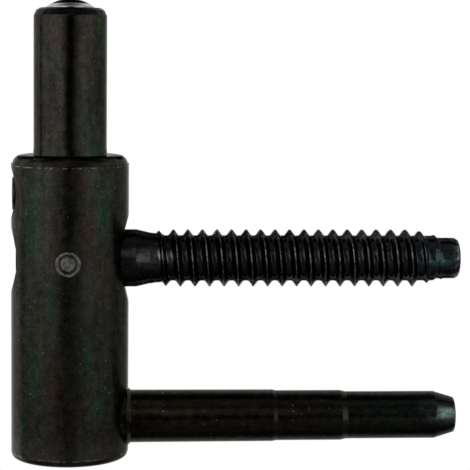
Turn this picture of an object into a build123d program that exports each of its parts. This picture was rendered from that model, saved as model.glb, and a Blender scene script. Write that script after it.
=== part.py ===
from build123d import *
import os
from math import ceil, cos, pi, radians, sin, sqrt, tan

# Frame half of a drill-in door hinge: a turned barrel that carries a hinge pin on top, a threaded
# spindle and a plain support pin at its side, a cross pin that locks the spindle and a screw that
# clamps the hinge pin. Millimetres. The origin is on the hinge axis at the barrel's top face,
# +Z runs up the hinge axis and +X runs out along the spindle and the support pin.
# A "reach" or a "place" on a piece is its distance from the hinge axis, or, on the hinge axis
# itself, from the barrel's top face. A "drop" is how far a piece's line lies below that face.

# Barrel
barrel_diameter = 16.0
barrel_length = 41.4
barrel_top_chamfer = 1.2
barrel_foot_chamfer = 0.8

# Hinge pin
hinge_pin_diameter = 9.95
hinge_pin_height = 19.85
hinge_pin_seat_diameter = 10.3
hinge_pin_seat_depth = 8.6
hinge_pin_seat_bevel = 0.4
hinge_pin_chamfer_length = 0.75
hinge_pin_chamfer_width = 0.35
hinge_pin_edge_break_length = 0.3
hinge_pin_edge_break_width = 0.45

# Bearing tip pressed into the hinge pin's end
tip_diameter = 6.55
tip_seat_depth = 5.0
tip_seat_bevel = 0.3
tip_rim_height = 0.25
tip_dome_height = 1.0

# Threaded spindle
spindle_drop = 14.15
spindle_diameter = 7.8
spindle_rear_recess = 0.83
spindle_rear_bevel = 0.4
spindle_shank_reach = 9.0
spindle_taper_length = 2.05
spindle_taper_end_diameter = 6.95
spindle_neck_length = 0.75
spindle_neck_diameter = 6.75
spindle_reach = 53.6
spindle_tip_length = 3.3
spindle_tip_diameter = 5.62
spindle_round_tip_length = 1.7
spindle_tip_chamfer_length = 0.9
spindle_tip_chamfer_width = 0.4
spindle_tip_edge_break_length = 0.35
spindle_tip_edge_break_width = 0.5

# Thread of the spindle: right-handed and coarse, with sharp crests and wide roots, drawn in flat
# facets. Its ridge rises out of the neck, runs at full height and sinks slowly into the tip.
thread_pitch = 2.0
thread_diameter = 7.8
thread_root_diameter = 6.1
thread_root_width = 0.78
thread_start_gap = 0.1
thread_run_in_length = 1.7
thread_core_run_in_length = 1.2
thread_run_out_length = 4.2
thread_core_run_out_length = 0.3
thread_end_gap = 0.4
thread_crest_on_top_reach = 14.12
thread_least_height = 0.03
thread_core_cover = 0.06
thread_end_taper_length = 0.3
thread_end_taper_width = 0.25
thread_facets_per_turn = 20

# Support pin
support_pin_drop = 36.05
support_pin_seat_depth = 13.0
support_pin_seat_bevel = 0.5
support_pin_collar_diameter = 8.2
support_pin_collar_seat_depth = 1.2
support_pin_collar_slope_height = 0.6
support_pin_diameter = 7.1
support_pin_first_step_reach = 27.85
support_pin_first_step_length = 0.55
support_pin_middle_diameter = 6.87
support_pin_second_step_reach = 37.3
support_pin_second_step_length = 0.8
support_pin_front_diameter = 6.5
support_pin_nose_start_reach = 50.1
support_pin_nose_end_reach = 52.9
support_pin_nose_diameter = 4.8
support_pin_end_dome_height = 0.4

# Locking pin that enters at the front and crosses the spindle
locking_pin_diameter = 2.2
locking_pin_far_bite = 1.6
locking_pin_point_bevel = 0.3
locking_head_diameter = 3.5
locking_head_seat_depth = 0.3
locking_head_rim_depth = 0.1
locking_head_ring_width = 0.35
locking_head_groove_width = 0.2
locking_head_groove_depth = 0.12
locking_head_proud_height = 0.06

# Clamp screw that bears on the hinge pin's seat
clamp_screw_drop = 5.3
clamp_screw_swing = 5.0
clamp_screw_diameter = 4.8
clamp_screw_face_depth = 0.16
clamp_screw_edge_bevel = 0.25
clamp_screw_point_diameter = 3.4
clamp_screw_socket_width = 2.5
clamp_screw_socket_depth = 1.5
clamp_screw_mouth_diameter = 7.2
clamp_screw_mouth_angle = 90.0

# Countersunk mouths of the spindle's bore
spindle_front_mouth_diameter = 12.0
spindle_front_mouth_angle = 120.0
spindle_rear_mouth_diameter = 9.2
spindle_rear_mouth_angle = 90.0

# Radial room round a piece that is pressed, screwed or staked into its bore
fitted_clearance = 0.0

# How far a cut runs past the surface it opens
cut_overrun = 2.0

barrel_radius = barrel_diameter / 2
spindle_neck_reach = spindle_shank_reach + spindle_taper_length + spindle_neck_length
spindle_tip_start_reach = spindle_reach - spindle_tip_length
spindle_round_tip_reach = spindle_reach - spindle_round_tip_length
thread_start_reach = spindle_neck_reach + thread_start_gap
thread_end_reach = spindle_round_tip_reach - thread_end_gap


def line_out(drop, heading):
    """Plane whose x line leaves the hinge axis, heading degrees round from +X, with +Z as its y."""
    along = Vector(cos(radians(heading)), sin(radians(heading)), 0)
    return Plane(origin=(0, 0, -drop), x_dir=along, z_dir=along.cross(Vector(0, 0, 1)))


hinge_line = Plane(origin=(0, 0, 0), x_dir=(0, 0, 1), z_dir=(-1, 0, 0))
spindle_line = line_out(spindle_drop, 0)
spindle_rear_line = line_out(spindle_drop, 180)
support_line = line_out(support_pin_drop, 0)
locking_line = line_out(spindle_drop, -90)
clamp_line = line_out(clamp_screw_drop, 180 + clamp_screw_swing)


def turned(line, *corners):
    """Solid turned about a line, from (place along it, radius) corners that begin and end on it.

    A corner's third value, where it has one, is how far the side that ends there bows outwards.
    """
    sides = []
    for before, corner in zip(corners[-1:] + corners[:-1], corners):
        start = Vector(before[0], before[1])
        end = Vector(corner[0], corner[1])
        if len(corner) == 3:
            outwards = (end - start).normalized().rotate(Axis.Z, 90)
            middle = (start + end) / 2 + outwards * corner[2]
            sides.append(line * ThreePointArc(start, middle, end))
        else:
            sides.append(line * Line(start, end))
    return revolve(make_face(sides), axis=Axis(line.origin, line.x_dir))


def dome_bow(radius, height):
    """How far a round dome's outline bows out of the straight line from its rim to its top."""
    chord_squared = radius**2 + height**2
    sphere = chord_squared / (2 * height)
    return sphere - sqrt(sphere**2 - chord_squared / 4)


def bore(line, start, end, diameter):
    """Round hole along a line, to be cut out, with the fitted clearance round what goes in."""
    radius = diameter / 2 + fitted_clearance
    return turned(line, (start, 0), (start, radius), (end, radius), (end, 0))


def mouth(line, diameter, angle):
    """Cone to be cut out, as wide as a diameter where its line leaves the barrel."""
    slope = tan(radians(angle / 2))
    radius = diameter / 2
    outside = barrel_radius + cut_overrun
    return turned(
        line,
        (barrel_radius - radius / slope, 0),
        (outside, radius + cut_overrun * slope),
        (outside, 0),
    )


def barrel():
    """Turned barrel with the bores of the pieces that it carries."""
    outside = barrel_radius + cut_overrun
    body = turned(
        hinge_line,
        (-barrel_length, 0),
        (-barrel_length, barrel_radius - barrel_foot_chamfer),
        (barrel_foot_chamfer - barrel_length, barrel_radius),
        (-barrel_top_chamfer, barrel_radius),
        (0, barrel_radius - barrel_top_chamfer),
        (0, 0),
    )
    locking_depth = spindle_diameter / 2 + locking_pin_far_bite
    cuts = [
        bore(hinge_line, -hinge_pin_seat_depth, cut_overrun, hinge_pin_seat_diameter),
        bore(spindle_line, -outside, outside, spindle_diameter),
        mouth(spindle_line, spindle_front_mouth_diameter, spindle_front_mouth_angle),
        mouth(spindle_rear_line, spindle_rear_mouth_diameter, spindle_rear_mouth_angle),
        bore(support_line, barrel_radius - support_pin_seat_depth, outside, support_pin_diameter),
        bore(
            support_line,
            barrel_radius - support_pin_collar_seat_depth,
            outside,
            support_pin_collar_diameter,
        ),
        bore(locking_line, -locking_depth, outside, locking_pin_diameter),
        bore(
            locking_line,
            barrel_radius - locking_head_seat_depth,
            outside,
            locking_head_diameter,
        ),
        bore(clamp_line, 0, outside, clamp_screw_diameter),
        mouth(clamp_line, clamp_screw_mouth_diameter, clamp_screw_mouth_angle),
    ]
    for cut in cuts:
        body -= cut
    return body


def hinge_pin():
    """Pin that the door half turns on, pressed into the barrel by its slightly wider seat."""
    seat = hinge_pin_seat_diameter / 2
    running = hinge_pin_diameter / 2
    edge_break = hinge_pin_height - hinge_pin_edge_break_length
    pin = turned(
        hinge_line,
        (-hinge_pin_seat_depth, 0),
        (-hinge_pin_seat_depth, seat - hinge_pin_seat_bevel),
        (hinge_pin_seat_bevel - hinge_pin_seat_depth, seat),
        (0, seat),
        (0, running),
        (edge_break - hinge_pin_chamfer_length, running),
        (edge_break, running - hinge_pin_chamfer_width),
        (hinge_pin_height, running - hinge_pin_chamfer_width - hinge_pin_edge_break_width),
        (hinge_pin_height, 0),
    )
    tip_floor = hinge_pin_height - tip_seat_depth
    return pin - bore(hinge_line, tip_floor, hinge_pin_height + cut_overrun, tip_diameter)


def bearing_tip():
    """Hard stud in the hinge pin's end, with the dome that carries the door half."""
    radius = tip_diameter / 2
    floor = hinge_pin_height - tip_seat_depth
    rim = hinge_pin_height + tip_rim_height
    return turned(
        hinge_line,
        (floor, 0),
        (floor, radius - tip_seat_bevel),
        (floor + tip_seat_bevel, radius),
        (rim, radius),
        (rim + tip_dome_height, 0, dome_bow(radius, tip_dome_height)),
    )


def spindle_shank():
    """Rear of the spindle, which sits in the barrel: shank, taper and neck."""
    shank = spindle_diameter / 2
    rear = spindle_rear_recess - barrel_radius
    return turned(
        spindle_line,
        (rear, 0),
        (rear, shank - spindle_rear_bevel),
        (rear + spindle_rear_bevel, shank),
        (spindle_shank_reach, shank),
        (spindle_shank_reach + spindle_taper_length, spindle_taper_end_diameter / 2),
        (spindle_neck_reach, spindle_neck_diameter / 2),
        (spindle_neck_reach, 0),
    )


def spindle_tip():
    """Plain round tip past the thread's end."""
    tip = spindle_tip_diameter / 2
    edge_break = spindle_reach - spindle_tip_edge_break_length
    return turned(
        spindle_line,
        (spindle_round_tip_reach, 0),
        (spindle_round_tip_reach, tip),
        (edge_break - spindle_tip_chamfer_length, tip),
        (edge_break, tip - spindle_tip_chamfer_width),
        (spindle_reach, tip - spindle_tip_chamfer_width - spindle_tip_edge_break_width),
        (spindle_reach, 0),
    )


def radius_at(place, *corners):
    """Radius at a place on an outline of (place, radius) corners, which is level past its ends."""
    if place <= corners[0][0]:
        return corners[0][1]
    for (near, near_radius), (far, far_radius) in zip(corners, corners[1:]):
        if place < far:
            return near_radius + (far_radius - near_radius) * (place - near) / (far - near)
    return corners[-1][1]


def core_radius(place):
    """Radius of the thread's core, from just under the neck down to the root and on to the tip."""
    root = thread_root_diameter / 2
    return radius_at(
        place,
        (spindle_neck_reach, spindle_neck_diameter / 2 - thread_core_cover),
        (spindle_neck_reach + thread_core_run_in_length, root),
        (spindle_tip_start_reach - thread_core_run_out_length, root),
        (spindle_tip_start_reach, spindle_tip_diameter / 2 - thread_core_cover),
    )


def crest_radius(place):
    """Radius of the thread's crest, with its run-in and its run-out."""
    full = thread_diameter / 2
    ridge = radius_at(
        place,
        (thread_start_reach, core_radius(thread_start_reach)),
        (thread_start_reach + thread_run_in_length, full),
        (thread_end_reach - thread_run_out_length, full),
        (thread_end_reach, core_radius(thread_end_reach)),
    )
    return max(ridge, core_radius(place) + thread_least_height)


def thread_point(crest_place, offset, radius):
    """Point at an offset along the spindle from a place on the crest, on the crest's side of it."""
    turn = 2 * pi * (crest_place - thread_crest_on_top_reach) / thread_pitch
    return Vector(crest_place + offset, -radius * sin(turn), radius * cos(turn) - spindle_drop)


def thread_section(place):
    """Near foot, crest and far foot of the ridge's section whose crest is at a place."""
    full_depth = (thread_diameter - thread_root_diameter) / 2
    flank_slope = (thread_pitch - thread_root_width) / 2 / full_depth
    crest = crest_radius(place)
    core = core_radius(place)
    half_width = (crest - core) * flank_slope
    return [
        thread_point(place, -half_width, core),
        thread_point(place, 0, crest),
        thread_point(place, half_width, core),
    ]


def core_end(end_place, crest_places):
    """Flat end of the core, with a corner on the side of each of one turn of crest places."""
    radius = core_radius(end_place) - thread_end_taper_width
    return [thread_point(place, end_place - place, radius) for place in crest_places]


def two_facets(first, second, third, fourth):
    """Corners of the two flat triangles that fill four corners in order."""
    return [[first, second, third], [first, third, fourth]]


def thread():
    """Thread and its core in flat facets, from a turn inside the neck to a turn on the tip."""
    turn = thread_facets_per_turn
    step = thread_pitch / turn
    first = spindle_neck_reach - thread_pitch
    count = ceil((spindle_tip_start_reach + thread_pitch - first) / step)
    places = [first + index * step for index in range(count)]
    rows = [thread_section(place) for place in places]
    near_end = core_end(places[0] - thread_end_taper_length, places[:turn])
    far_end = core_end(places[-1] + thread_end_taper_length, places[-turn:])
    facets = [near_end, far_end, rows[0], rows[-1]]
    for near, far in zip(rows, rows[1:]):
        facets += two_facets(near[0], far[0], far[1], near[1])
        facets += two_facets(near[1], far[1], far[2], near[2])
    root = [(near[2], far[0]) for near, far in zip(rows, rows[turn:])]
    near_side = list(zip(near_end + near_end[:1], [row[0] for row in rows]))
    far_side = list(zip([row[2] for row in rows[-turn - 1 :]], far_end[-1:] + far_end))
    for strip in (root, near_side, far_side):
        for (near, far), (next_near, next_far) in zip(strip, strip[1:]):
            facets += two_facets(near, next_near, next_far, far)
    facets += two_facets(near_end[0], rows[0][0], rows[0][2], rows[turn][0])
    facets += two_facets(far_end[-1], rows[-1][2], rows[-1][0], rows[-turn - 1][2])
    return Solid(Shell([Face(Wire.make_polygon(facet)) for facet in facets]))


def threaded_spindle():
    """Threaded spindle that is driven into the frame, drilled across for the locking pin."""
    through = spindle_diameter / 2 + cut_overrun
    shank = spindle_shank() - bore(locking_line, -through, through, locking_pin_diameter)
    return shank + thread() + spindle_tip()


def support_pin():
    """Plain stepped pin that stops the hinge from turning in the frame."""
    root = support_pin_diameter / 2
    collar = support_pin_collar_diameter / 2
    middle = support_pin_middle_diameter / 2
    front = support_pin_front_diameter / 2
    nose = support_pin_nose_diameter / 2
    end = support_pin_nose_end_reach + support_pin_end_dome_height
    floor = barrel_radius - support_pin_seat_depth
    collar_floor = barrel_radius - support_pin_collar_seat_depth
    return turned(
        support_line,
        (floor, 0),
        (floor, root - support_pin_seat_bevel),
        (floor + support_pin_seat_bevel, root),
        (collar_floor, root),
        (collar_floor, collar),
        (barrel_radius, collar),
        (barrel_radius + support_pin_collar_slope_height, root),
        (support_pin_first_step_reach, root),
        (support_pin_first_step_reach + support_pin_first_step_length, middle),
        (support_pin_second_step_reach, middle),
        (support_pin_second_step_reach + support_pin_second_step_length, front),
        (support_pin_nose_start_reach, front),
        (support_pin_nose_end_reach, nose),
        (end, 0, dome_bow(nose, support_pin_end_dome_height)),
    )


def locking_pin():
    """Cross pin with a staked head: a ring, a groove and a slightly domed middle."""
    radius = locking_pin_diameter / 2
    head = locking_head_diameter / 2
    point = -(spindle_diameter / 2 + locking_pin_far_bite)
    seat = barrel_radius - locking_head_seat_depth
    groove = head - locking_head_ring_width
    return turned(
        locking_line,
        (point, 0),
        (point, radius - locking_pin_point_bevel),
        (point + locking_pin_point_bevel, radius),
        (seat, radius),
        (seat, head),
        (barrel_radius - locking_head_rim_depth, head),
        (barrel_radius, groove),
        (barrel_radius - locking_head_groove_depth, groove - locking_head_groove_width / 2),
        (barrel_radius, groove - locking_head_groove_width),
        (barrel_radius + locking_head_proud_height, 0),
    )


def clamp_screw():
    """Set screw with a hexagon socket, whose flat point bears on the hinge pin's seat."""
    radius = clamp_screw_diameter / 2
    tip = clamp_screw_point_diameter / 2
    point = hinge_pin_seat_diameter / 2
    face = barrel_radius - clamp_screw_face_depth
    body = turned(
        clamp_line,
        (point, 0),
        (point, tip),
        (point + radius - tip, radius),
        (face - clamp_screw_edge_bevel, radius),
        (face, radius - clamp_screw_edge_bevel),
        (face, 0),
    )
    out = clamp_line.x_dir
    floor = clamp_line.origin + out * (face - clamp_screw_socket_depth)
    hexagon = RegularPolygon(clamp_screw_socket_width / 2, 6, major_radius=False)
    socket = extrude(Plane(origin=floor, z_dir=out) * hexagon, clamp_screw_socket_depth + cut_overrun)
    return body - socket


pieces = {
    "barrel": barrel(),
    "hinge_pin": hinge_pin(),
    "bearing_tip": bearing_tip(),
    "threaded_spindle": threaded_spindle(),
    "support_pin": support_pin(),
    "locking_pin": locking_pin(),
    "clamp_screw": clamp_screw(),
}

os.makedirs("parts", exist_ok=True)
for name, piece in pieces.items():
    export_step(piece, f"parts/{name}.step")
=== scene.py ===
import math

import bpy
from mathutils import Matrix, Vector, noise


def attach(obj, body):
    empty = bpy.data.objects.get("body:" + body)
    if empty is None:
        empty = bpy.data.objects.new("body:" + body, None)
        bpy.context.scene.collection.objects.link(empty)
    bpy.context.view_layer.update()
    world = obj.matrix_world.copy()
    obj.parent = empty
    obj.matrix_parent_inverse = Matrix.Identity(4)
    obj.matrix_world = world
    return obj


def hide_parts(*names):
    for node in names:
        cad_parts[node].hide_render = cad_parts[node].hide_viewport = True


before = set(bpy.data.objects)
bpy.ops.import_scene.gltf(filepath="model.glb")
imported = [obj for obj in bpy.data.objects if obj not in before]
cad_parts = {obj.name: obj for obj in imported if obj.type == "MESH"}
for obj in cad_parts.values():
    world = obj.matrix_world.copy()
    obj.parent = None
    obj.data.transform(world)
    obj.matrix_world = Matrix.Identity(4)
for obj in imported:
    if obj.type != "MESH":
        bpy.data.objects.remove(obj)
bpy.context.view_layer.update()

# Drill-in hinge, frame half. Blender lengths are metres, and the named sizes below are millimetres.
# The frame is the CAD's: the origin is on the hinge axis at the barrel's top face, +Z runs up the
# hinge axis and +X runs out along the spindle and the support pin. A place on a piece is its
# distance from the hinge axis, or, on the hinge axis itself, from the barrel's top face.

MM = 0.001
TINY = 1e-6

# Camera, fitted to the photo's outline with a small shift. Angles are in radians.
IMAGE_WIDTH_PX = 470
CAMERA_PLACE = Vector((7.9, -231.9, 13.2)) * MM
CAMERA_FOCAL_PX = 1700.0
CAMERA_DOWN = 0.0678
CAMERA_RIGHT = 0.0628
CAMERA_ROLL = 0.0079
CAMERA_SHIFT_DOWN = 0.13
CAMERA_CLIP_METRES = (0.01, 20)
SENSOR_WIDTH = 36.0

# Floor: how low and how wide it lies, how far from the middle its shadow fades, and where, from
# behind the object to before it, mirrored rays see it bright
FLOOR_DROP = 300.0
FLOOR_SIZE = 700.0
FLOOR_GREY = 0.15
FLOOR_SHADOW_REACH = 120.0
FLOOR_WHITE_REACH = 340.0
FLOOR_SHADOW_WHITE = 0.92
FLOOR_MIRROR_BEHIND = (10.0, 140.0)
FLOOR_MIRROR_BEFORE = (-110.0, -180.0)
FLOOR_MIRROR_BEFORE_LEVEL = 0.06

# Light round the object: how bright the studio is at each turn in degrees, from the camera's side
# (0) round by the left (-180) and by the right (180)
LIGHT_BY_TURN = [
    (-180, 1.0),
    (-135, 1.0),
    (-112, 1.0),
    (-107, 0.6),
    (-103, 0.0),
    (-99, 0.6),
    (-92, 1.0),
    (-60, 1.0),
    (-44, 1.0),
    (-30, 1.0),
    (-20, 0.75),
    (-12, 0.15),
    (-4, 0.0),
    (5, 0.0),
    (14, 0.12),
    (22, 0.45),
    (34, 0.75),
    (50, 0.9),
    (74, 0.7),
    (96, 0.45),
    (124, 0.6),
    (148, 1.0),
    (180, 1.0),
]

# Lean of that light with height, on the camera's side only: from no lean to all, in radians
LIGHT_LEAN = 0.6
LEAN_SPAN = (1.6, 1.0)

# Where the light starts and ends by height, as the sine of the elevation: from dark to full
FRONT_FOOT = (-0.3, 0.0)
FRONT_TOP = (0.72, 0.42)
BEHIND_FOOT = (-0.96, -0.6)
BEHIND_TOP = (0.95, 0.6)

# Turn, either way, over which the camera's side passes into the side behind the object
BEHIND_SPAN = (math.radians(100), math.radians(125))

# Dimmer place low on the right, by its turn in radians and by its height, and how dim it is
RIGHT_START = (1.5, 1.85)
RIGHT_END = (2.8, 2.5)
RIGHT_BELOW = (-0.04, -0.15)
RIGHT_DIMMING = 0.55

# Soft light added over the camera's side, and below all round: two ranges of height each, from
# dark to full, with their level, and how the first passes over from behind to the camera's side
SOFT_ABOVE = [(0.05, 0.35, 0.1), (0.75, 0.93, 0.08)]
SOFT_BELOW = [(0.0, -0.07, 0.05), (-0.04, -0.25, 0.1)]
SOFT_ABOVE_REACH = (-0.15, 0.0)

# Lines that the turned pieces lie on, and their main sizes, which are the CAD's or close to them
SPINDLE_DROP = 14.15
SUPPORT_DROP = 36.05
BARREL_RADIUS = 8.0
BARREL_LENGTH = 41.4
BARREL_TOP_EDGE = -1.2
BARREL_FOOT_EDGE = -40.6
HINGE_PIN_RADIUS = 4.975
HINGE_SEAT_RADIUS = 5.15
STUD_RADIUS = 3.275
STUD_FLOOR = 14.85
DOME_TOP = 21.1
DOME_RADIUS = 3.1
DOME_HEIGHT = 1.0
DOME_STEPS = 8
DOME_EDGE_ROUNDING = 0.15
DOME_ROUNDING = 1.0
SHANK_RADIUS = 3.93
SPINDLE_NECK_RADIUS = 3.48
SPINDLE_TIP_RADIUS = 2.81
SPINDLE_REAR = 0.83 - BARREL_RADIUS
SUPPORT_FLOOR = BARREL_RADIUS - 13.0
SUPPORT_RADIUS = 3.55
SUPPORT_MIDDLE_RADIUS = 3.435
SUPPORT_END_RADIUS = 3.25
LOCKING_PIN_RADIUS = 1.1
LOCKING_HEAD_RADIUS = 1.75
EDGE_MARGIN = 0.01

# Turned meshes: segments round the line, steps round a corner, and the largest share of a side
# that a corner's rounding takes
TURNED_SEGMENTS = 144
ARC_STEPS = 5
ROUNDING_SHARE = 0.45

# Knocked edges: the place of the edge and the depth of its dents, how far they reach, and the
# noise value from which they show. Fineness is a noise's, along the line and round it.
SHOULDER_DENTS = (-1.42, 0.04)
SPINDLE_END_DENTS = (53.2, 0.1)
DENT_REACH = 0.6
DENT_FROM = -0.15
DENT_FINENESS = (2, 5)
HEAD_UNEVENNESS = 0.06
HEAD_INSET = 0.01
HEAD_FINENESS = (3, 3)

# Thread of the spindle: rounder than the CAD's, and 0.1 mm wider over its crests. Spans are places
# from start to end.
THREAD_PITCH = 2.0
THREAD_START_RADIUS = 3.36
THREAD_ROOT_RADIUS = 3.09
THREAD_ON_TOP_PLACE = 14.12
THREAD_CREST_ROUND = 0.08
THREAD_FLANK_SLOPE = 1.5
THREAD_ROOT_ROUND = 0.2
THREAD_CREST_BY_PLACE = [
    (11.3, 3.3),
    (12.1, 3.74),
    (13.1, 3.86),
    (14.3, 3.95),
    (47.3, 3.95),
    (51.4, 2.8),
]
THREAD_NECK_SPAN = (10.8, 12.0)
THREAD_ROOT_SPAN = (12.1, 13.1)
THREAD_TIP_SPAN = (49.9, 50.5)
THREAD_DENT = 0.12
THREAD_DENT_FROM = 0.15
THREAD_DENT_FINENESS = (3, 9)
THREAD_WAVE = 0.006
THREAD_WAVE_FINENESS = (3, 0.8)
THREAD_WAVE_LAYER = 7.0
THREAD_INSET = 0.012
THREAD_MESH_START = 11.0
THREAD_MESH_END = 51.9
THREAD_SEGMENTS = 108
THREAD_STEPS = 20
SLOPE_STEP = 1e-3

# Turned outlines: the place and radius of each corner, and how far the corner is rounded
BARREL_SHOULDER = [
    (BARREL_TOP_EDGE - 0.25, BARREL_RADIUS, 0),
    (-1.38, 7.99, 0.06),
    (BARREL_TOP_EDGE, 7.9, 0.3),
    (-0.55, 7.62, 0.8),
    (-0.12, 7.1, 0.6),
    (-0.01, 6.4, 0.5),
    (0, HINGE_SEAT_RADIUS, 0),
]
BARREL_FOOT = [
    (-BARREL_LENGTH, 0, 0),
    (-BARREL_LENGTH, 7.5, 0.2),
    (-41.15, 7.84, 0.3),
    (BARREL_FOOT_EDGE, BARREL_RADIUS, 0),
]
SPINDLE_SHANK = [
    (SPINDLE_REAR, 0, 0),
    (SPINDLE_REAR, 3.5, 0.15),
    (SPINDLE_REAR + 0.4, SHANK_RADIUS, 0.2),
    (9.02, SHANK_RADIUS, 0.3),
    (10.85, 3.5, 0.6),
    (THREAD_MESH_START, SPINDLE_NECK_RADIUS, 0),
]
SPINDLE_TIP = [
    (THREAD_MESH_END, SPINDLE_TIP_RADIUS, 0),
    (52.95, SPINDLE_TIP_RADIUS, 0.35),
    (53.35, 2.55, 0.15),
    (53.5, 2.25, 0.15),
    (53.52, 0, 0),
]
SUPPORT_PIN = [
    (SUPPORT_FLOOR, 0, 0),
    (SUPPORT_FLOOR, 3.05, 0.1),
    (SUPPORT_FLOOR + 0.5, SUPPORT_RADIUS, 0.1),
    (6.8, SUPPORT_RADIUS, 0),
    (6.8, 4.1, 0),
    (7.85, 4.05, 0.15),
    (8.35, 3.6, 0.3),
    (27.85, SUPPORT_RADIUS, 0.6),
    (28.4, SUPPORT_MIDDLE_RADIUS, 0.6),
    (37.3, SUPPORT_MIDDLE_RADIUS, 0.6),
    (38.1, SUPPORT_END_RADIUS, 0.6),
    (50.35, SUPPORT_END_RADIUS, 0.6),
    (53.15, 2.4, 0.25),
    (53.56, 0, 6.0),
]
HINGE_PIN = [
    (-8.6, 0, 0),
    (-8.6, 4.75, 0.1),
    (-8.2, HINGE_SEAT_RADIUS, 0.1),
    (0.0, HINGE_SEAT_RADIUS, 0),
    (0.0, 5.06, 0.1),
    (0.95, HINGE_PIN_RADIUS, 1.2),
    (18.8, HINGE_PIN_RADIUS, 0.35),
    (19.55, 4.625, 0.15),
    (19.85, 4.175, 0.12),
    (19.85, STUD_RADIUS, 0),
    (STUD_FLOOR, STUD_RADIUS, 0),
    (STUD_FLOOR, 0, 0),
]
BEARING_STUD = [
    (STUD_FLOOR, 0, 0),
    (STUD_FLOOR, 2.975, 0.1),
    (15.15, STUD_RADIUS, 0.1),
    (20.02, STUD_RADIUS, 0.12),
]
LOCKING_PIN = [
    (-5.5, 0, 0),
    (-5.5, 0.8, 0.05),
    (-5.2, LOCKING_PIN_RADIUS, 0.05),
    (7.7, LOCKING_PIN_RADIUS, 0),
    (7.7, LOCKING_HEAD_RADIUS, 0),
    (7.92, LOCKING_HEAD_RADIUS, 0.05),
    (8.03, 1.66, 0.06),
    (8.06, 1.36, 0.12),
    (7.86, 1.17, 0.05),
    (7.9, 1.06, 0.05),
    (8.02, 0.95, 0.2),
    (8.06, 0, 3.0),
]

# Colours of the blackened steels and of bare steel, which also paints reflections on the support
# pin's steps, and the bearing tip's looks: its colours, its painted dark reflection on the dome's
# top and the radii over which it sets in, its sheen and its roughness
BARREL_BLACK = (0.033, 0.032, 0.0265)
HINGE_PIN_BLACK = (0.033, 0.031, 0.027)
SPINDLE_BLACK = (0.029, 0.029, 0.029)
SUPPORT_BLACK = (0.030, 0.027, 0.022)
STAKED_GREY = (0.08, 0.075, 0.07)
SCREW_BLACK = (0.03, 0.03, 0.03)
BARE_STEEL_AND_REFLECTION = (0.34, 0.33, 0.29)
BEARING_GREY = (0.36, 0.36, 0.36)
BEARING_PALE = (0.54, 0.56, 0.57)
BEARING_DARK_REFLECTION = (0.03, 0.036, 0.042)
BEARING_DARK_REFLECTION_RADIUS = (2.75, 2.4)
BEARING_SHEEN = 0.8
BEARING_DARK_REFLECTION_SHEEN = 0.25
BEARING_ROUGHNESS = (0.12, 0.2)

# Noises of the materials: scale to a metre, detail and roughness. Most of a noise's values lie
# in NOISE_SPAN.
NOISE_SPAN = (0.3, 0.7)
PATCHES = (160.0, 3.0, 0.6)
PATCH_STRENGTH = (120.0, 2.0, 0.5)
STREAKS = (900.0, 3.0, 0.6)
GRAIN = (3200.0, 2.0, 0.6)
MOTTLE = (900.0, 3.0, 0.65)
RAGGED = (800.0, 3.0, 0.6)
SPECK_CROWDS = (260.0, 2.0, 0.5)
CREST_WEAR = (1300.0, 2.0, 0.5)
HEAD_WEAR = (1500.0, 2.0, 0.5)
BEARING_GRAIN = (2500.0, 3.0, 0.6)
BEARING_CLOUD = (500.0, 3.0, 0.6)
DASH_DETAIL = (2.0, 0.6)

# How the blackening is made up: spans are of a noise or a height, and levels are what they give.
# BARE_ROUGHNESS is added where the steel is bare or painted with bare steel's colour, and the core
# is the share of a stained place's or a painted light's reach within which it is full.
GRAIN_STRETCH = 0.4
PATCH_SPAN = (0.4, 0.6)
PATCH_STRENGTH_SPAN = (0.35, 0.65)
RAGGED_SPAN = (0.35, 0.62)
RAGGED_LEVELS = (0.25, 1.0)
STREAK_LEVELS = (0.82, 1.2)
MOTTLE_LEVELS = (0.75, 1.3)
GRAIN_LEVELS = (0.8, 1.25)
ROUGHNESS_FACTORS = (0.8, 1.25)
SPECK_CELLS = 1800.0
SPECK_SIZE = (0.26, 0.08)
SPECK_CHOICE = (0.6, 1.0)
SPECK_CROWD_SPAN = (0.42, 0.62)
SPECK_CROWD_LEVELS = (0.25, 1.0)
BARE_ROUGHNESS = 0.18
# Painted shade: near the barrel's top face the sheen falls to this level, over these heights
SHADED_TOP_SPAN = (-0.7, -0.05)
SHADED_TOP_SHEEN = 0.1
SPOT_CORE = 0.15

# Pits: how strong and how deep, and the share of the coarser noise in them
PIT_STRENGTH = 0.3
PIT_DEPTH = 0.008
PIT_MOTTLE = 0.6
BEARING_PIT_STRENGTH = 0.2
BEARING_PIT_DEPTH = 0.005

# Wear, where the blackening is rubbed away, by place and radius; the barrel's foot only grows
# paler, and the support pin's step lines are painted reflections. Lines have a place and a width,
# and LINE_CORE is the share of the width on each side within which they are full. Dashes are a
# noise's scale and the values between which it breaks a line up.
LINE_CORE = 0.2
BARREL_OUTSIDE = (7.85, 7.97)
SHOULDER_LINE = (-1.43, 0.2)
SHOULDER_DASHES = (1900.0, 0.47, 0.68)
SHOULDER_LEVEL = 0.75
FOOT_LINE = (-40.55, 0.35)
FOOT_DASHES = (1100.0, 0.4, 0.65)
FOOT_LEVEL = 0.5
# Paler and rougher towards the barrel's foot, over these heights and up to this level
FOOT_PALING = (-36.5, -40.2)
FOOT_PALING_LEVEL = 0.07
CREST_RADII = (3.88, 3.94)
CREST_START = (12.0, 13.5)
CREST_SPAN = (0.35, 0.65)
CREST_LEVELS = (0.1, 0.9)
SPINDLE_END = (52.2, 52.8)
SPINDLE_END_DASHES = (1500.0, 0.45, 0.6)
SPINDLE_END_RADII = (1.4, 2.3)
SUPPORT_END = (52.7, 53.1)
SUPPORT_END_DASHES = (1500.0, 0.42, 0.6)
SUPPORT_END_RADII = (1.2, 2.1)
END_LEVELS = (0.1, 0.6)
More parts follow.
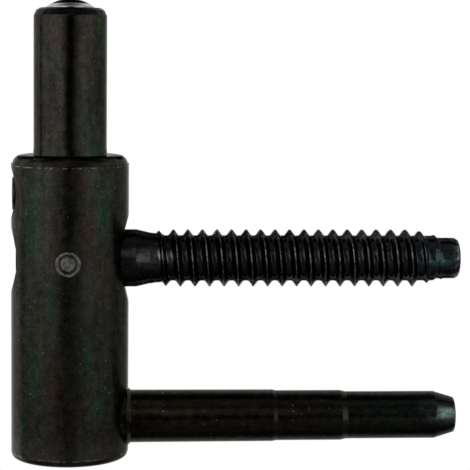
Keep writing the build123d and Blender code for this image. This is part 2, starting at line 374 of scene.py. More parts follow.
# Painted reflections: faint pale rings where the support pin's steps catch the light
SUPPORT_STEP_REFLECTIONS = [(28.1, 0.9), (37.7, 1.1)]
SUPPORT_STEP_REFLECTION_LEVELS = (0.035, 0.06)
HEAD_RING = (7.92, 8.06)
HEAD_SPAN = (0.35, 0.65)
HEAD_LEVELS = (0.25, 1.0)

# Tints of the blackening, as factors on its colour
PATCH_GREEN = (0.72, 1.22, 0.95)
PATCH_BROWN = (1.3, 0.95, 0.8)
GREEN = (0.6, 1.4, 1.0)
BROWN = (1.25, 0.9, 0.8)

# Stained places, painted highlights and painted shade: centre and reach in millimetres, and the
# tint's factors. Along the grain each reaches 1 / GRAIN_STRETCH times as far.
BARREL_STAINS = [
    ((-4.6, -6.5, -9.0), 2.6, GREEN),
    ((5.0, -6.2, -6.0), 3.0, GREEN),
    ((-2.4, -7.6, -19.5), 1.3, GREEN),
    ((-4.6, -6.5, -29.0), 1.5, GREEN),
    ((2.6, -7.5, -27.0), 2.2, GREEN),
    ((4.0, -6.9, -33.0), 2.0, GREEN),
    ((-6.0, -5.2, -36.0), 1.4, GREEN),
    ((-1.6, -7.8, -12.0), 1.6, BROWN),
    ((2.8, -7.5, -10.5), 2.2, BROWN),
    ((4.5, -6.6, -17.0), 2.0, BROWN),
    ((2.2, -7.7, -3.0), 1.2, BROWN),
    ((-7.6, -2.4, -22.0), 3.0, BROWN),
    ((-1.5, -7.8, -30.0), 2.2, BROWN),
    ((-0.9, -7.9, -38.0), 1.6, BROWN),
    ((4.8, -6.4, -39.0), 1.6, BROWN),
]
HINGE_PIN_TINTS = [
    ((-2.3, -4.4, 12.5), 0.9, (1.0, 1.6, 1.3)),
    ((3.6, -3.5, 0.8), 2.0, GREEN),
    ((4.2, -2.6, 17.0), 1.6, GREEN),
    ((-1.9, -4.6, 16.0), 1.8, (1.15, 0.95, 0.95)),
    ((1.9, -4.6, 14.5), 2.4, (1.2, 0.95, 0.88)),
    # The last two only darken the pin's front at the left and at the right
    ((-3.4, -3.7, 8.0), 4.0, (0.75, 0.75, 0.75)),
    ((4.2, -2.6, 8.0), 4.0, (0.72, 0.7, 0.68)),
]
SPINDLE_TINTS_AND_HIGHLIGHTS = [
    # A bluish temper tint that also paints the thread's camera side nearly twice as bright: part
    # tint, part painted light
    ((44.0, -3.0, -14.15), 9.0, (1.7, 1.85, 2.2)),
    # Only brightens the thread's camera side near 22 mm
    ((22.0, -3.2, -13.5), 5.0, (1.25, 1.25, 1.2)),
    # Painted highlight: a bluish band on the neck
    ((11.8, -3.4, -14.0), 1.6, (2.8, 3.4, 4.0)),
    # Painted reflection: a lit patch on the neck's taper
    ((10.7, -3.4, -13.7), 1.9, (5.6, 5.4, 6.0)),
    # Painted highlight: a teal patch on the tip
    ((51.0, -2.8, -13.8), 1.8, (3.4, 6.8, 7.2)),
]
SUPPORT_TINTS_SHADE_AND_HIGHLIGHT = [
    ((14.0, -3.0, -36.0), 6.0, (1.25, 0.98, 0.8)),
    ((46.0, -3.0, -36.0), 6.0, (0.8, 1.3, 1.25)),
    # Painted shade: a dark ring over the collar's bevel, which dims its reflection
    ((8.2, -3.0, -36.0), 2.5, (0.3, 0.26, 0.22)),
    # Painted highlight: a teal patch at the nose
    ((52.3, -2.4, -35.2), 2.4, (4.5, 7.0, 8.0)),
]


class Line:
    """Straight line that a turned piece is built on."""

    def __init__(self, origin, along, up):
        self.origin = Vector(origin)
        self.along = Vector(along)
        self.up = Vector(up)
        self.side = self.along.cross(self.up)

    def out(self, turn):
        return self.up * math.cos(turn) + self.side * math.sin(turn)

    def point(self, place, radius, turn):
        return (self.origin + self.along * place + self.out(turn) * radius) * MM


HINGE_LINE = Line((0, 0, 0), (0, 0, 1), (1, 0, 0))
SPINDLE_LINE = Line((0, 0, -SPINDLE_DROP), (1, 0, 0), (0, 0, 1))
SUPPORT_LINE = Line((0, 0, -SUPPORT_DROP), (1, 0, 0), (0, 0, 1))
LOCKING_LINE = Line((0, 0, -SPINDLE_DROP), (0, -1, 0), (0, 0, 1))


def smooth(value, low, high):
    """Smooth step from 0 at low to 1 at high."""
    share = min(1.0, max(0.0, (value - low) / (high - low)))
    return share * share * (3 - 2 * share)


def mix(low, high, share):
    return low + (high - low) * share


def new_object(name, points, faces, point_normals=None, corner_normals=None):
    """Smooth mesh object with normals given by point or by corner. It rides on the one body."""
    mesh = bpy.data.meshes.new(name)
    mesh.from_pydata(points, [], faces)
    mesh.polygons.foreach_set("use_smooth", [True] * len(mesh.polygons))
    if point_normals:
        mesh.normals_split_custom_set_from_vertices(point_normals)
    if corner_normals:
        mesh.normals_split_custom_set(corner_normals)
    mesh.update()
    obj = bpy.data.objects.new(name, mesh)
    bpy.context.scene.collection.objects.link(obj)
    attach(obj, "root")
    return obj


def rounded(corners):
    """Outline of (place, radius, rounding) corners as (point, outward normal) pairs."""
    outline = []
    last = len(corners) - 1
    for index, (place, radius, rounding) in enumerate(corners):
        corner = Vector((place, radius))
        if index in (0, last):
            other = corners[1] if index == 0 else corners[last - 1]
            side = (Vector(other[:2]) - corner) * (1 if index == 0 else -1)
            side.normalize()
            outline.append((corner, Vector((-side.y, side.x))))
            continue
        before = corner - Vector(corners[index - 1][:2])
        after = Vector(corners[index + 1][:2]) - corner
        bend = before.angle_signed(after)
        half = math.tan(abs(bend) / 2)
        back = min(rounding * half, ROUNDING_SHARE * before.length, ROUNDING_SHARE * after.length)
        radius_used = back / half if half > TINY else 0.0
        start = corner - before.normalized() * back
        normal = Vector((-before.y, before.x)).normalized()
        bulge = radius_used if bend > 0 else -radius_used
        centre = start - normal * bulge
        steps = ARC_STEPS if rounding else 1
        for step in range(steps + 1):
            turned = normal.copy()
            turned.rotate(Matrix.Rotation(-bend * step / steps, 2))
            outline.append((centre + turned * bulge, turned))
    return outline


def lathe(name, line, corners, uneven=None):
    """Turned piece with rounded corners. uneven moves a point's radius by its place and turn."""
    points, normals, rings = [], [], []
    for point, normal in rounded(corners):
        ring = []
        count = TURNED_SEGMENTS if point.y > TINY else 1
        for index in range(count):
            turn = 2 * math.pi * index / TURNED_SEGMENTS
            radius = point.y + (uneven(point.x, turn) if uneven and count > 1 else 0.0)
            ring.append(len(points))
            points.append(line.point(point.x, radius, turn))
            normals.append(line.along * normal.x + line.out(turn) * normal.y)
        rings.append((point, ring))
    faces = []
    for (near_point, near), (far_point, far) in zip(rings, rings[1:]):
        if (near_point - far_point).length < TINY:
            continue
        for index in range(TURNED_SEGMENTS):
            following = (index + 1) % TURNED_SEGMENTS
            if len(near) == 1:
                faces.append((near[0], far[following], far[index]))
            elif len(far) == 1:
                faces.append((near[following], far[0], near[index]))
            else:
                faces.append((near[following], far[following], far[index], near[index]))
    return new_object(name, points, faces, normals)


def knocks(place, turn, fineness):
    """Uneven value at a spot of a turned surface."""
    along, across = fineness
    return noise.noise(Vector((place * along, math.cos(turn) * across, math.sin(turn) * across)))


def knocked_edge(edge, depth):
    """Dents near one edge of a turned piece, as a change of radius by place and turn."""

    def dents(place, turn):
        nearness = max(0.0, 1 - abs(place - edge) / DENT_REACH)
        return -depth * nearness * max(0.0, knocks(place, turn, DENT_FINENESS) - DENT_FROM)

    return dents


def staked_dents(place, turn):
    """Unevenness of the locking pin's staked head, as a change of radius."""
    return HEAD_UNEVENNESS * knocks(place, turn, HEAD_FINENESS) - HEAD_INSET


def barrel_body():
    """The CAD's own surface between the barrel's two end edges, with its normals."""
    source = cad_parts["barrel"].data
    points, faces, normals, number = [], [], [], {}
    for polygon in source.polygons:
        heights = [source.vertices[index].co.z / MM for index in polygon.vertices]
        above = min(heights) > BARREL_TOP_EDGE - EDGE_MARGIN
        below = max(heights) < BARREL_FOOT_EDGE + EDGE_MARGIN
        if above or below:
            continue
        face = []
        for index, loop in zip(polygon.vertices, polygon.loop_indices):
            if index not in number:
                number[index] = len(points)
                points.append(source.vertices[index].co.copy())
            face.append(number[index])
            normals.append(source.corner_normals[loop].vector.copy())
        faces.append(face)
    return new_object("barrel_body", points, faces, corner_normals=normals)


def barrel():
    """Visible barrel: the CAD's own surface, with a rounded shoulder and a rounded foot."""
    body = barrel_body()
    dents = knocked_edge(*SHOULDER_DENTS)
    shoulder = lathe("barrel_shoulder", HINGE_LINE, BARREL_SHOULDER, dents)
    foot = lathe("barrel_foot", HINGE_LINE, BARREL_FOOT)
    for piece in (body, shoulder, foot):
        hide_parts("barrel")
    return [body, shoulder, foot]


def core_radius(place):
    """Radius of the thread's core: down from the neck, level, and down again to the tip."""
    neck = mix(SPINDLE_NECK_RADIUS, THREAD_START_RADIUS, smooth(place, *THREAD_NECK_SPAN))
    radius = mix(neck, THREAD_ROOT_RADIUS, smooth(place, *THREAD_ROOT_SPAN))
    return mix(radius, SPINDLE_TIP_RADIUS, smooth(place, *THREAD_TIP_SPAN))


def crest_radius(place):
    """Radius of the thread's crest, which runs in over the neck and runs out on the tip."""
    if place <= THREAD_CREST_BY_PLACE[0][0]:
        return THREAD_CREST_BY_PLACE[0][1]
    for (near, low), (far, high) in zip(THREAD_CREST_BY_PLACE, THREAD_CREST_BY_PLACE[1:]):
        if place < far:
            return mix(low, high, (place - near) / (far - near))
    return THREAD_CREST_BY_PLACE[-1][1]


def thread_radius(place, turn):
    """Radius of the threaded surface, with dents along its crest and faint waves all over."""
    along, across = THREAD_DENT_FINENESS
    phase = (place - THREAD_ON_TOP_PLACE) / THREAD_PITCH - turn / (2 * math.pi)
    radius = core_radius(place)
    for lap in (math.floor(phase), math.ceil(phase)):
        offset = (phase - lap) * THREAD_PITCH
        crest_place = place - offset
        spot = Vector((crest_place * along, math.sin(turn) * across, math.cos(turn) * across))
        dent = THREAD_DENT * max(0.0, noise.noise(spot) - THREAD_DENT_FROM)
        run = math.hypot(offset, THREAD_CREST_ROUND) - THREAD_CREST_ROUND
        ridge = crest_radius(crest_place) - dent - THREAD_FLANK_SLOPE * run
        gap = radius - ridge
        radius = (radius + ridge + math.hypot(gap, THREAD_ROOT_ROUND)) / 2
    wave_along, wave_round = THREAD_WAVE_FINENESS
    spot = Vector((place * wave_along, turn * wave_round, THREAD_WAVE_LAYER))
    return radius - THREAD_INSET + THREAD_WAVE * noise.noise(spot)


def thread_normal(place, turn, radius):
    """Outward normal of the threaded surface, from its slopes along the line and round it."""
    small = SLOPE_STEP
    rise = thread_radius(place + small, turn) - thread_radius(place - small, turn)
    swell = thread_radius(place, turn + small) - thread_radius(place, turn - small)
    slope, spin = rise / (2 * small), swell / (2 * small)
    out = SPINDLE_LINE.out(turn)
    around = SPINDLE_LINE.out(turn + math.pi / 2)
    return (out - SPINDLE_LINE.along * slope - around * (spin / radius)).normalized()


def threaded_part():
    """Threaded length of the spindle, on a grid that winds with the thread."""
    laps = int((THREAD_MESH_END - THREAD_MESH_START) / THREAD_PITCH) + 3
    along_count = laps * THREAD_STEPS
    step = THREAD_PITCH / THREAD_STEPS
    points, normals, number = [], [], {}
    for column in range(THREAD_SEGMENTS):
        turn = 2 * math.pi * column / THREAD_SEGMENTS
        skew = THREAD_PITCH * column / THREAD_SEGMENTS
        for index in range(along_count + 1):
            place = THREAD_MESH_START - THREAD_PITCH + skew + index * step
            if place <= THREAD_MESH_START - step or place >= THREAD_MESH_END + step:
                continue
            place = min(THREAD_MESH_END, max(THREAD_MESH_START, place))
            radius = thread_radius(place, turn)
            number[column, index] = len(points)
            points.append(SPINDLE_LINE.point(place, radius, turn))
            normals.append(thread_normal(place, turn, radius))
    faces = []
    for column in range(THREAD_SEGMENTS):
        following = (column + 1) % THREAD_SEGMENTS
        shift = THREAD_STEPS if following == 0 else 0
        for index in range(along_count):
            corners = [
                number.get((following, index + shift)),
                number.get((following, index + 1 + shift)),
                number.get((column, index + 1)),
                number.get((column, index)),
            ]
            found = [corner for corner in corners if corner is not None]
            if len(found) >= 3:
                faces.append(found)
    return new_object("spindle_thread", points, faces, normals)


def spindle():
    """Visible threaded spindle: shank and neck, thread, and a knocked and rubbed tip."""
    shank = lathe("spindle_shank", SPINDLE_LINE, SPINDLE_SHANK)
    thread = threaded_part()
    tip = lathe("spindle_tip", SPINDLE_LINE, SPINDLE_TIP, knocked_edge(*SPINDLE_END_DENTS))
    for piece in (shank, thread, tip):
        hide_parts("threaded_spindle")
    return [shank, thread, tip]


def support_pin():
    """Visible support pin: collar, two faint steps and a blunt nose."""
    piece = lathe("support_pin_turned", SUPPORT_LINE, SUPPORT_PIN)
    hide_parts("support_pin")
    return [piece]


def hinge_pin():
    """Visible hinge pin, with the faint flare at its foot and its bevelled end."""
    piece = lathe("hinge_pin_turned", HINGE_LINE, HINGE_PIN)
    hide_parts("hinge_pin")
    return [piece]


def bearing_tip():
    """Visible bearing tip: a low rim and the dome that carries the door half."""
    sphere = (DOME_RADIUS**2 + DOME_HEIGHT**2) / 2
    dome = []
    for step in range(DOME_STEPS + 1):
        radius = DOME_RADIUS * (1 - step / DOME_STEPS)
        height = DOME_TOP - sphere + math.sqrt(sphere**2 - radius**2)
        dome.append((height, radius, DOME_ROUNDING if step else DOME_EDGE_ROUNDING))
    piece = lathe("bearing_tip_turned", HINGE_LINE, [*BEARING_STUD, *dome])
    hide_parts("bearing_tip")
    return [piece]


def locking_pin():
    """Visible locking pin, whose staked head has a raised ring, a groove and a domed middle."""
    piece = lathe("locking_pin_staked", LOCKING_LINE, LOCKING_PIN, staked_dents)
    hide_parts("locking_pin")
    return [piece]


def make_camera():
    """Camera at the photograph's viewing angle."""
    data = bpy.data.cameras.new("camera")
    data.sensor_width = SENSOR_WIDTH
    data.lens = CAMERA_FOCAL_PX / IMAGE_WIDTH_PX * SENSOR_WIDTH
    data.shift_y = -CAMERA_SHIFT_DOWN
    data.clip_start, data.clip_end = CAMERA_CLIP_METRES
    camera = bpy.data.objects.new("camera", data)
    bpy.context.scene.collection.objects.link(camera)
    right = Matrix.Rotation(-CAMERA_RIGHT, 4, "Z")
    down = Matrix.Rotation(math.pi / 2 - CAMERA_DOWN, 4, "X")
    roll = Matrix.Rotation(CAMERA_ROLL, 4, "Z")
    camera.matrix_world = Matrix.Translation(CAMERA_PLACE) @ right @ down @ roll
    bpy.context.scene.camera = camera


def tone(colour, factors=(1.0, 1.0, 1.0)):
    """Colour with its factors, as a shader takes it."""
    return tuple(min(1.0, channel * factor) for channel, factor in zip(colour, factors)) + (1.0,)


def grey(level):
    return (level, level, level, 1.0)


class Nodes:
    """A short way to lay out a node tree: each call makes a node and returns its result."""

    def __init__(self, tree):
        self.tree = tree
        tree.nodes.clear()

    def add(self, kind, inputs=None, **settings):
        node = self.tree.nodes.new(kind)
        for key, value in settings.items():
            setattr(node, key, value)
        for key, value in (inputs or {}).items():
            if isinstance(value, bpy.types.NodeSocket):
                self.tree.links.new(value, node.inputs[key])
            else:
                node.inputs[key].default_value = value
        return node

    def math(self, operation, *values):
        node = self.add("ShaderNodeMath", dict(enumerate(values)), operation=operation)
        return node.outputs[0]

    def times(self, first, second):
        return self.math("MULTIPLY", first, second)

    def larger(self, first, second):
        return self.math("MAXIMUM", first, second)

    def vector(self, operation, *values, result="Vector"):
        node = self.add("ShaderNodeVectorMath", dict(enumerate(values)), operation=operation)
        return node.outputs[result]

    def ramp(self, value, low, high, to_low=0.0, to_high=1.0):
        """Smooth step of a value from low to high, onto another range."""
        names = ("Value", "From Min", "From Max", "To Min", "To Max")
        inputs = dict(zip(names, (value, low, high, to_low, to_high)))
        node = self.add("ShaderNodeMapRange", inputs, interpolation_type="SMOOTHSTEP")
        return node.outputs["Result"]

    def spread(self, value, to_low, to_high):
        """Most of a noise's values, spread onto another range."""
        return self.ramp(value, *NOISE_SPAN, to_low, to_high)

    def noise(self, vector, scale, detail, roughness):
        inputs = {"Vector": vector, "Scale": scale, "Detail": detail, "Roughness": roughness}
        return self.add("ShaderNodeTexNoise", inputs).outputs["Fac"]

    def mix(self, share, first, second):
        node = self.add("ShaderNodeMix", {0: share, 6: first, 7: second}, data_type="RGBA")
        return node.outputs[2]

    def bump(self, height, strength, depth):
        inputs = {"Strength": strength, "Distance": depth * MM, "Height": height}
        return self.add("ShaderNodeBump", inputs).outputs[0]

    def seen(self):
        """1 for what the camera sees, straight on or through glass."""
        rays = self.add("ShaderNodeLightPath").outputs
        return self.larger(rays["Is Camera Ray"], rays["Is Transmission Ray"])

    def surface(self, shader, output="ShaderNodeOutputMaterial"):
        self.add(output, {"Surface": shader.outputs[0]})


def coordinate(nodes, place, axis):
    """One coordinate of the shaded point, in millimetres."""
    where = nodes.add("ShaderNodeSeparateXYZ", {"Vector": place}).outputs
    return nodes.times(where[axis], 1 / MM)


def radius_from(nodes, place, axis, drop=0.0):
    """Distance of the shaded point from a piece's line, in millimetres."""
    factors = (0.0, 1.0, 1.0) if axis == "X" else (1.0, 1.0, 0.0)
    moved = nodes.vector("ADD", place, (0, 0, drop * MM))
    across = nodes.vector("MULTIPLY", moved, tuple(factor / MM for factor in factors))
    return nodes.vector("LENGTH", across, result="Value")


def light_by_turn(nodes, turn, sideways, up):
    """Level of the studio at a turn, with its camera side leaned."""
    lean = nodes.times(up, nodes.ramp(sideways, *LEAN_SPAN, 0.0, -LIGHT_LEAN))
    leaned = nodes.math("ADD", turn, lean)
    round_share = nodes.math("MULTIPLY_ADD", leaned, 0.5 / math.pi, 0.5)
    by_turn = nodes.add("ShaderNodeValToRGB", {"Fac": round_share})
    by_turn.color_ramp.interpolation = "B_SPLINE"
    stops = by_turn.color_ramp.elements
    for index, (degrees, level) in enumerate(LIGHT_BY_TURN):
        share = degrees / 360 + 0.5
        stop = stops[index] if index < 2 else stops.new(share)
        stop.position = share
        stop.color = grey(level)
    return by_turn.outputs["Color"]


def fall_off(nodes, up, foot, top):
    """Share of the light at a height, falling off towards the foot and the top."""
    return nodes.times(nodes.ramp(up, *foot), nodes.ramp(up, *top))


def soft_light(nodes, up, spans):
    """Sum of two soft lights by height."""
    first, second = (nodes.ramp(up, dark, full, 0.0, level) for dark, full, level in spans)
    return nodes.math("ADD", first, second)


def make_world():
    """Studio round the object: white behind it, a soft light at each side and a dim camera side."""
    world = bpy.data.worlds.new("studio")
    bpy.context.scene.world = world
    world.use_nodes = True
    nodes = Nodes(world.node_tree)
    direction = nodes.add("ShaderNodeTexCoord").outputs["Generated"]
    parts = nodes.add("ShaderNodeSeparateXYZ", {"Vector": direction}).outputs
    up = parts["Z"]
    towards_camera = nodes.times(parts["Y"], -1.0)
    turn = nodes.math("ARCTAN2", parts["X"], towards_camera)
    sideways = nodes.math("ABSOLUTE", turn)
    by_turn = light_by_turn(nodes, turn, sideways, up)
    front_fall = fall_off(nodes, up, FRONT_FOOT, FRONT_TOP)
    behind_fall = fall_off(nodes, up, BEHIND_FOOT, BEHIND_TOP)
    fall_gap = nodes.math("SUBTRACT", behind_fall, front_fall)
    fall = nodes.math("MULTIPLY_ADD", fall_gap, nodes.ramp(sideways, *BEHIND_SPAN), front_fall)
    right_side = nodes.times(nodes.ramp(turn, *RIGHT_START), nodes.ramp(turn, *RIGHT_END))
    right_low = nodes.times(right_side, nodes.ramp(up, *RIGHT_BELOW))
    shaded = nodes.times(fall, nodes.math("MULTIPLY_ADD", right_low, -RIGHT_DIMMING, 1.0))
    over_camera = nodes.ramp(towards_camera, *SOFT_ABOVE_REACH)
    above = nodes.times(soft_light(nodes, up, SOFT_ABOVE), over_camera)
    soft = nodes.math("ADD", above, soft_light(nodes, up, SOFT_BELOW))
    level = nodes.math("MULTIPLY_ADD", by_turn, shaded, soft)
    colour = nodes.mix(nodes.seen(), level, grey(1.0))
    background = nodes.add("ShaderNodeBackground", {"Color": colour, "Strength": 1.0})
    nodes.surface(background, "ShaderNodeOutputWorld")


def new_material(name):
    """Material, its node tree and the place of the shaded point."""
    material = bpy.data.materials.new(name)
    material.use_nodes = True
    nodes = Nodes(material.node_tree)
    return material, nodes, nodes.add("ShaderNodeTexCoord").outputs["Object"]


def make_floor():
    """Plain pale floor well below the object, which is held in the air by its support pin."""
    half = FLOOR_SIZE / 2 * MM
    corners = [(-half, -half), (half, -half), (half, half), (-half, half)]
    points = [(x, y, -FLOOR_DROP * MM) for x, y in corners]
    mesh = bpy.data.meshes.new("floor")
    mesh.from_pydata(points, [], [(0, 1, 2, 3)])
    floor = bpy.data.objects.new("floor", mesh)
    bpy.context.scene.collection.objects.link(floor)
    material, nodes, place = new_material("floor_white")
    flat = nodes.vector("MULTIPLY", place, (1.0, 1.0, 0.0))
    reach = nodes.times(nodes.vector("LENGTH", flat, result="Value"), 1 / MM)
    back = coordinate(nodes, place, "Y")
    diffuse = nodes.add("ShaderNodeBsdfDiffuse", {"Color": grey(FLOOR_GREY)})
    glow = nodes.add("ShaderNodeEmission", {"Color": grey(1.0), "Strength": 1.0})
    fade = (FLOOR_SHADOW_REACH, FLOOR_WHITE_REACH, FLOOR_SHADOW_WHITE, 1.0)
    white = nodes.times(nodes.seen(), nodes.ramp(reach, *fade))
    mirror_behind = nodes.ramp(back, *FLOOR_MIRROR_BEHIND)
    mirror_before = nodes.ramp(back, *FLOOR_MIRROR_BEFORE, 0.0, FLOOR_MIRROR_BEFORE_LEVEL)
    shown = nodes.math("ADD", mirror_behind, mirror_before)
    glossy = nodes.add("ShaderNodeLightPath").outputs["Is Glossy Ray"]
    share = nodes.larger(white, nodes.times(glossy, shown))
    inputs = {0: share, 1: diffuse.outputs[0], 2: glow.outputs[0]}
    nodes.surface(nodes.add("ShaderNodeMixShader", inputs))
    mesh.materials.append(material)


def share_near(nodes, drawn, along, centre, reach):
    """Soft share round a centre, in millimetres, drawn out along the grain like the place."""
    centre = tuple(value * factor * MM for value, factor in zip(centre, along))
    away = nodes.vector("DISTANCE", drawn, centre, result="Value")
    return nodes.ramp(away, reach * MM, reach * SPOT_CORE * MM)


def broken(nodes, place, scale, low, high):
    """Uneven share that breaks a worn line into dots and dashes."""
    return nodes.ramp(nodes.noise(place, scale, *DASH_DETAIL), low, high)


def line_at(nodes, value, centre, width):
    """1 at a value's centre, falling to 0 at half a width on each side."""
    away = nodes.math("ABSOLUTE", nodes.math("SUBTRACT", value, centre))
    return nodes.ramp(away, width / 2, width * LINE_CORE)


def dashed_line(nodes, place, value, line, dashes, level):
    """Worn line at a value's centre, broken into dashes."""
    dashed = nodes.times(line_at(nodes, value, *line), broken(nodes, place, *dashes))
    return nodes.times(dashed, level)


def rubbed_end(nodes, place, at_end, dashes, radius, radii):
    """Rubbed edge at a pin's end, fainter on the end's flat middle."""
    rubbed = nodes.times(at_end, broken(nodes, place, *dashes))
    return nodes.times(rubbed, nodes.ramp(radius, *radii, *END_LEVELS))


def barrel_wear(nodes, place):
    """Bright dashes along the edge under the barrel's shoulder, and steel that grows paler towards
    the foot.
    """
    height = coordinate(nodes, place, "Z")
    outside = nodes.ramp(radius_from(nodes, place, "Z"), *BARREL_OUTSIDE)
    shoulder = dashed_line(nodes, place, height, SHOULDER_LINE, SHOULDER_DASHES, SHOULDER_LEVEL)
    foot = dashed_line(nodes, place, height, FOOT_LINE, FOOT_DASHES, FOOT_LEVEL)
    edges = nodes.times(nodes.larger(shoulder, foot), outside)
    return nodes.larger(edges, nodes.ramp(height, *FOOT_PALING, 0.0, FOOT_PALING_LEVEL))


def spindle_wear(nodes, place):
    """Bright crests of the thread and a rubbed edge at the spindle's tip."""
    along = coordinate(nodes, place, "X")
    radius = radius_from(nodes, place, "X", SPINDLE_DROP)
    crest = nodes.times(nodes.ramp(radius, *CREST_RADII), nodes.ramp(along, *CREST_START))
    uneven = nodes.ramp(nodes.noise(place, *CREST_WEAR), *CREST_SPAN, *CREST_LEVELS)
    at_end = nodes.ramp(along, *SPINDLE_END)
    end = rubbed_end(nodes, place, at_end, SPINDLE_END_DASHES, radius, SPINDLE_END_RADII)
    return nodes.larger(nodes.times(crest, uneven), end)


def support_wear_and_reflections(nodes, place):
    """Painted reflections as faint pale rings at the support pin's steps, and a rubbed edge at its
    nose.
    """
    along = coordinate(nodes, place, "X")
    radius = radius_from(nodes, place, "X", SUPPORT_DROP)
    first, second = (
        nodes.times(line_at(nodes, along, *line), level)
        for line, level in zip(SUPPORT_STEP_REFLECTIONS, SUPPORT_STEP_REFLECTION_LEVELS)
    )
    at_end = nodes.ramp(along, *SUPPORT_END)
    end = rubbed_end(nodes, place, at_end, SUPPORT_END_DASHES, radius, SUPPORT_END_RADII)
    return nodes.larger(nodes.larger(first, second), end)


def head_wear(nodes, place):
    """Bright staked ring of the locking pin's head, and its paler middle."""
    out = nodes.times(coordinate(nodes, place, "Y"), -1.0)
    uneven = nodes.ramp(nodes.noise(place, *HEAD_WEAR), *HEAD_SPAN, *HEAD_LEVELS)
    return nodes.times(nodes.ramp(out, *HEAD_RING), uneven)


def blackening(nodes, drawn, along, colour, tint, stains_and_painted_light):
    """Colour of the blackening: patches of green and brown, with stained places, painted highlights
    and painted shade over them.
    """
    patches = nodes.ramp(nodes.noise(drawn, *PATCHES), *PATCH_SPAN)
    tinted = nodes.mix(patches, tone(colour, PATCH_BROWN), tone(colour, PATCH_GREEN))
    strength = nodes.noise(drawn, *PATCH_STRENGTH)
    strength = nodes.ramp(strength, *PATCH_STRENGTH_SPAN, 0.0, tint)
    shade = nodes.mix(strength, tone(colour), tinted)
    ragged = nodes.ramp(nodes.noise(drawn, *RAGGED), *RAGGED_SPAN, *RAGGED_LEVELS)
    for centre, reach, factors in stains_and_painted_light:
        share = nodes.times(share_near(nodes, drawn, along, centre, reach), ragged)
        shade = nodes.mix(share, shade, tone(colour, factors))
    return shade


def bright_specks(nodes, place, level):
    """Small bare dots, which crowd in places."""
    cells = nodes.add("ShaderNodeTexVoronoi", {"Vector": place, "Scale": SPECK_CELLS}).outputs
    chosen = nodes.add("ShaderNodeSeparateColor", {"Color": cells["Color"]}).outputs[0]
    dot = nodes.ramp(cells["Distance"], *SPECK_SIZE)
    crowd = nodes.noise(place, *SPECK_CROWDS)
    crowd = nodes.ramp(crowd, *SPECK_CROWD_SPAN, *SPECK_CROWD_LEVELS)
    return nodes.times(dot, nodes.times(nodes.ramp(chosen, *SPECK_CHOICE, 0.0, level), crowd))


def metal(material, nodes, colour, roughness, rim, pits):
    """Ends a material as a metal. rim is its tint at grazing angles."""
    inputs = {
        "Base Color": colour,
        "Metallic": 1.0,
        "Roughness": roughness,
        "Specular Tint": rim,
        "Normal": pits,
    }
    nodes.surface(nodes.add("ShaderNodeBsdfPrincipled", inputs))
    return material


def steel(
    name,
    colour,
    roughness,
    grain_axis="Z",
    wear_and_painted_light=None,
    tint=0.5,
    specks=0.6,
    sheen=0.55,
    stains_and_painted_light=(),
    shaded_top=False,
):
    """Blackened steel: patches of tint, fine grain, pits, specks and rubbed edges, and on some
    pieces painted highlights, painted reflections and painted shade.

    tint, specks and sheen are the strengths of the patches, of the specks and of the shine at
    grazing angles. The wear function gives how far the blackening is rubbed away at a place, and on
    the support pin it also paints reflections on the steps. The list of places gives (centre,
    reach, factors) places with a tint of their own; on the spindle and the support pin some of
    them are painted highlights and painted shade. The top flag takes the sheen off the barrel's top
    face as painted shade.
    """
    material, nodes, place = new_material(name)
    along = (1.0, 1.0, GRAIN_STRETCH) if grain_axis == "Z" else (GRAIN_STRETCH, 1.0, 1.0)
    drawn = nodes.vector("MULTIPLY", place, along)
    streaks = nodes.noise(nodes.vector("MULTIPLY", drawn, along), *STREAKS)
    grain = nodes.noise(place, *GRAIN)
    mottle = nodes.noise(place, *MOTTLE)
    shade = blackening(nodes, drawn, along, colour, tint, stains_and_painted_light)
    level = nodes.times(nodes.spread(streaks, *STREAK_LEVELS), nodes.spread(mottle, *MOTTLE_LEVELS))
    level = nodes.times(level, nodes.spread(grain, *GRAIN_LEVELS))
    inputs = {0: shade, "Scale": level}
    scaled = nodes.add("ShaderNodeVectorMath", inputs, operation="SCALE").outputs[0]
    rubbed = bright_specks(nodes, place, specks)
    # On the support pin this share also holds painted reflections, which take bare steel's colour
    # below
    if wear_and_painted_light:
        rubbed = nodes.larger(rubbed, wear_and_painted_light(nodes, place))
    bare = nodes.mix(rubbed, scaled, tone(BARE_STEEL_AND_REFLECTION))
    rough = nodes.spread(mottle, *(roughness * factor for factor in ROUGHNESS_FACTORS))
    rough = nodes.math("MULTIPLY_ADD", rubbed, BARE_ROUGHNESS, rough)
    rim = grey(sheen)
    # Painted shade: less sheen on the barrel's top face
    if shaded_top:
        top = nodes.ramp(coordinate(nodes, place, "Z"), *SHADED_TOP_SPAN)
        rim = nodes.mix(top, rim, grey(SHADED_TOP_SHEEN))
    height = nodes.math("MULTIPLY_ADD", mottle, PIT_MOTTLE, grain)
    pits = nodes.bump(height, PIT_STRENGTH, PIT_DEPTH)
    return metal(material, nodes, bare, rough, rim, pits)


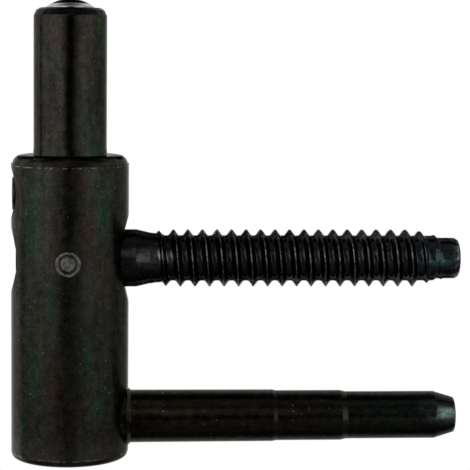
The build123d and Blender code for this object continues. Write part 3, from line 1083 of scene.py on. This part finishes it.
def bright_steel(name):
    """Polished bearing steel with a fine grain, paler clouds and a painted dark reflection on the
    dome's top.
    """
    material, nodes, place = new_material(name)
    grain = nodes.noise(place, *BEARING_GRAIN)
    cloud = nodes.spread(nodes.noise(place, *BEARING_CLOUD), 0.0, 1.0)
    # Painted reflection: the dome's top is painted dark, with less sheen
    dark_reflection = nodes.ramp(radius_from(nodes, place, "Z"), *BEARING_DARK_REFLECTION_RADIUS)
    bright = nodes.mix(cloud, tone(BEARING_GREY), tone(BEARING_PALE))
    shade = nodes.mix(dark_reflection, bright, tone(BEARING_DARK_REFLECTION))
    rim = nodes.mix(dark_reflection, grey(BEARING_SHEEN), grey(BEARING_DARK_REFLECTION_SHEEN))
    rough = nodes.spread(grain, *BEARING_ROUGHNESS)
    pits = nodes.bump(grain, BEARING_PIT_STRENGTH, BEARING_PIT_DEPTH)
    return metal(material, nodes, shade, rough, rim, pits)


def dress():
    """Builds the visible pieces and gives every piece its material."""
    black = steel(
        "blackened_steel",
        BARREL_BLACK,
        roughness=0.21,
        wear_and_painted_light=barrel_wear,
        stains_and_painted_light=BARREL_STAINS,
        shaded_top=True,
    )
    pin = steel(
        "blackened_pin",
        HINGE_PIN_BLACK,
        roughness=0.14,
        tint=0.4,
        specks=0.25,
        stains_and_painted_light=HINGE_PIN_TINTS,
    )
    thread = steel(
        "blackened_spindle",
        SPINDLE_BLACK,
        roughness=0.2,
        grain_axis="X",
        wear_and_painted_light=spindle_wear,
        tint=0.3,
        sheen=0.35,
        stains_and_painted_light=SPINDLE_TINTS_AND_HIGHLIGHTS,
    )
    support = steel(
        "blackened_support",
        SUPPORT_BLACK,
        roughness=0.2,
        grain_axis="X",
        wear_and_painted_light=support_wear_and_reflections,
        tint=0.4,
        specks=0.7,
        stains_and_painted_light=SUPPORT_TINTS_SHADE_AND_HIGHLIGHT,
    )
    lock = steel("staked_steel", STAKED_GREY, roughness=0.4, wear_and_painted_light=head_wear, specks=0.9)
    screw = steel("blackened_screw", SCREW_BLACK, roughness=0.3)
    dressed = [
        (barrel(), black),
        (spindle(), thread),
        (support_pin(), support),
        (hinge_pin(), pin),
        (bearing_tip(), bright_steel("bright_steel")),
        (locking_pin(), lock),
    ]
    for pieces, material in dressed:
        for piece in pieces:
            piece.data.materials.append(material)
    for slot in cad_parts["clamp_screw"].material_slots:
        slot.material = screw


bpy.context.scene.view_settings.view_transform = "Standard"
make_camera()
make_world()
make_floor()
dress()
